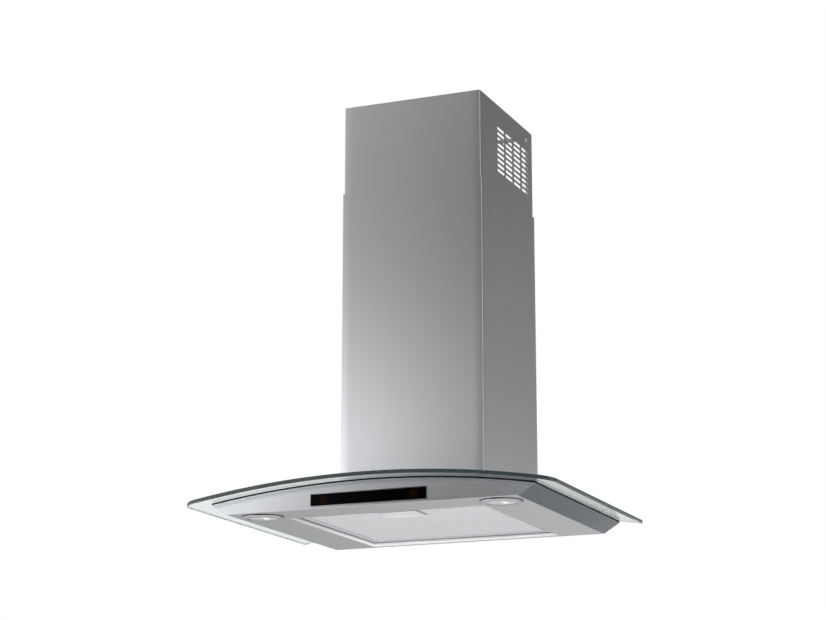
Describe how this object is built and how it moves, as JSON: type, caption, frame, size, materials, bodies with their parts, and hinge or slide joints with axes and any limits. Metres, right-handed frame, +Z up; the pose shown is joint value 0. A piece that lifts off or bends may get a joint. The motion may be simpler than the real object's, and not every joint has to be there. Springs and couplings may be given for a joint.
{
  "type": "wall-mounted range hood",
  "caption": "Wall-hung range hood: an arched steel tray under a bent glass canopy, grease filter, lamps, touch strip, blower box and a telescopic chimney cover with side vents.",
  "frame": {"origin": "on the wall plane, at the middle of the back face of the hanging rail's plate", "axes": "+X to the right for someone who faces the hood, +Y into the wall, +Z up along the chimney"},
  "size_m": [0.6, 0.441, 0.6983],
  "materials": {
    "brushed_steel": "brushed stainless steel, satin, upright grain",
    "galvanised_steel": "galvanised sheet, dull",
    "zinc_plated_steel": "zinc plated, half gloss",
    "bright_chrome": "polished",
    "filter_aluminium": "satin aluminium, fine expanded mesh on the faces",
    "cast_aluminium": "die cast, matt",
    "tempered_glass": "clear tempered glass with a dark green edge",
    "black_glass": "black printed glass, glossy",
    "frosted_lens": "frosted, lit",
    "seal_rubber": "black, matt",
    "dark_plastic": "dark grey moulded plastic",
    "grey_plastic": "light grey moulded plastic",
    "circuit_board": "green circuit board",
    "motor_steel": "pressed steel shell"
  },
  "bodies": {
    "hood": {"canopy_body": "brushed_steel", "lower_chimney": "brushed_steel", "top_deck": "galvanised_steel", "blower_chassis": "galvanised_steel", "wall_rail": "galvanised_steel", "chimney_clip_left": "galvanised_steel", "chimney_clip_right": "galvanised_steel", "motor_bracket": "galvanised_steel", "clamp_screw_front_left": "zinc_plated_steel", "clamp_screw_front_right": "zinc_plated_steel", "clamp_screw_rear_left": "zinc_plated_steel", "clamp_screw_rear_right": "zinc_plated_steel", "collar_screw_front_left": "zinc_plated_steel", "collar_screw_front_right": "zinc_plated_steel", "collar_screw_rear_left": "zinc_plated_steel", "collar_screw_rear_right": "zinc_plated_steel", "bracket_screw_rear": "zinc_plated_steel", "bracket_screw_front_upper": "zinc_plated_steel", "bracket_screw_front_lower": "zinc_plated_steel", "flap_axle": "zinc_plated_steel", "capacitor_clip": "zinc_plated_steel", "control_frame": "bright_chrome", "lamp_bezel_left": "bright_chrome", "lamp_bezel_right": "bright_chrome", "lamp_module_left": "cast_aluminium", "lamp_module_right": "cast_aluminium", "glass_canopy": "tempered_glass", "control_panel": "black_glass", "lamp_lens_left": "frosted_lens", "lamp_lens_right": "frosted_lens", "glass_gasket": "seal_rubber", "lamp_seal_left": "seal_rubber", "lamp_seal_right": "seal_rubber", "control_housing": "dark_plastic", "scroll_left": "dark_plastic", "scroll_right": "dark_plastic", "outlet_collar": "dark_plastic", "electronics_box": "dark_plastic", "electronics_lid": "dark_plastic", "cable_gland": "dark_plastic", "motor_capacitor": "grey_plastic", "control_board": "circuit_board", "blower_motor": "motor_steel"},
    "upper_cover": {"upper_chimney": "brushed_steel", "chimney_bracket": "galvanised_steel", "chimney_screw_left": "zinc_plated_steel", "chimney_screw_right": "zinc_plated_steel"},
    "grease_filter": {"filter_frame": "filter_aluminium", "filter_face_lower": "filter_aluminium", "filter_core": "filter_aluminium", "filter_face_upper": "filter_aluminium", "latch_guide": "filter_aluminium", "latch_spring": "zinc_plated_steel"},
    "latch": {"filter_latch": "filter_aluminium"},
    "fan_wheel": {"impeller": "grey_plastic", "motor_shaft": "zinc_plated_steel"},
    "flap_front": {"flap_front": "grey_plastic"},
    "flap_rear": {"flap_rear": "grey_plastic"}
  },
  "joints": [
    {"name": "chimney_slide", "type": "slide", "parent": "hood", "child": "upper_cover", "axis": [0, 0, 1], "range_m": [-0.12, 0.2]},
    {"name": "filter_hinge", "type": "hinge", "parent": "hood", "child": "grease_filter", "pos_m": [0, -0.022, -0.2278], "axis": [1, 0, 0], "range_deg": [0, 30]},
    {"name": "latch_slide", "type": "slide", "parent": "grease_filter", "child": "latch", "axis": [0, 1, 0], "range_m": [0, 0.008], "stiffness_N_per_m": 400, "springref_m": -0.005, "deforming": ["latch_spring"]},
    {"name": "fan_spin", "type": "hinge", "parent": "hood", "child": "fan_wheel", "pos_m": [0, -0.14, -0.066], "axis": [1, 0, 0], "continuous": true},
    {"name": "flap_front_hinge", "type": "hinge", "parent": "hood", "child": "flap_front", "pos_m": [0, -0.096, 0.0823], "axis": [-1, 0, 0], "range_deg": [0, 75]},
    {"name": "flap_rear_hinge", "type": "hinge", "parent": "hood", "child": "flap_rear", "pos_m": [0, -0.096, 0.0823], "axis": [1, 0, 0], "range_deg": [0, 75]}
  ]
}
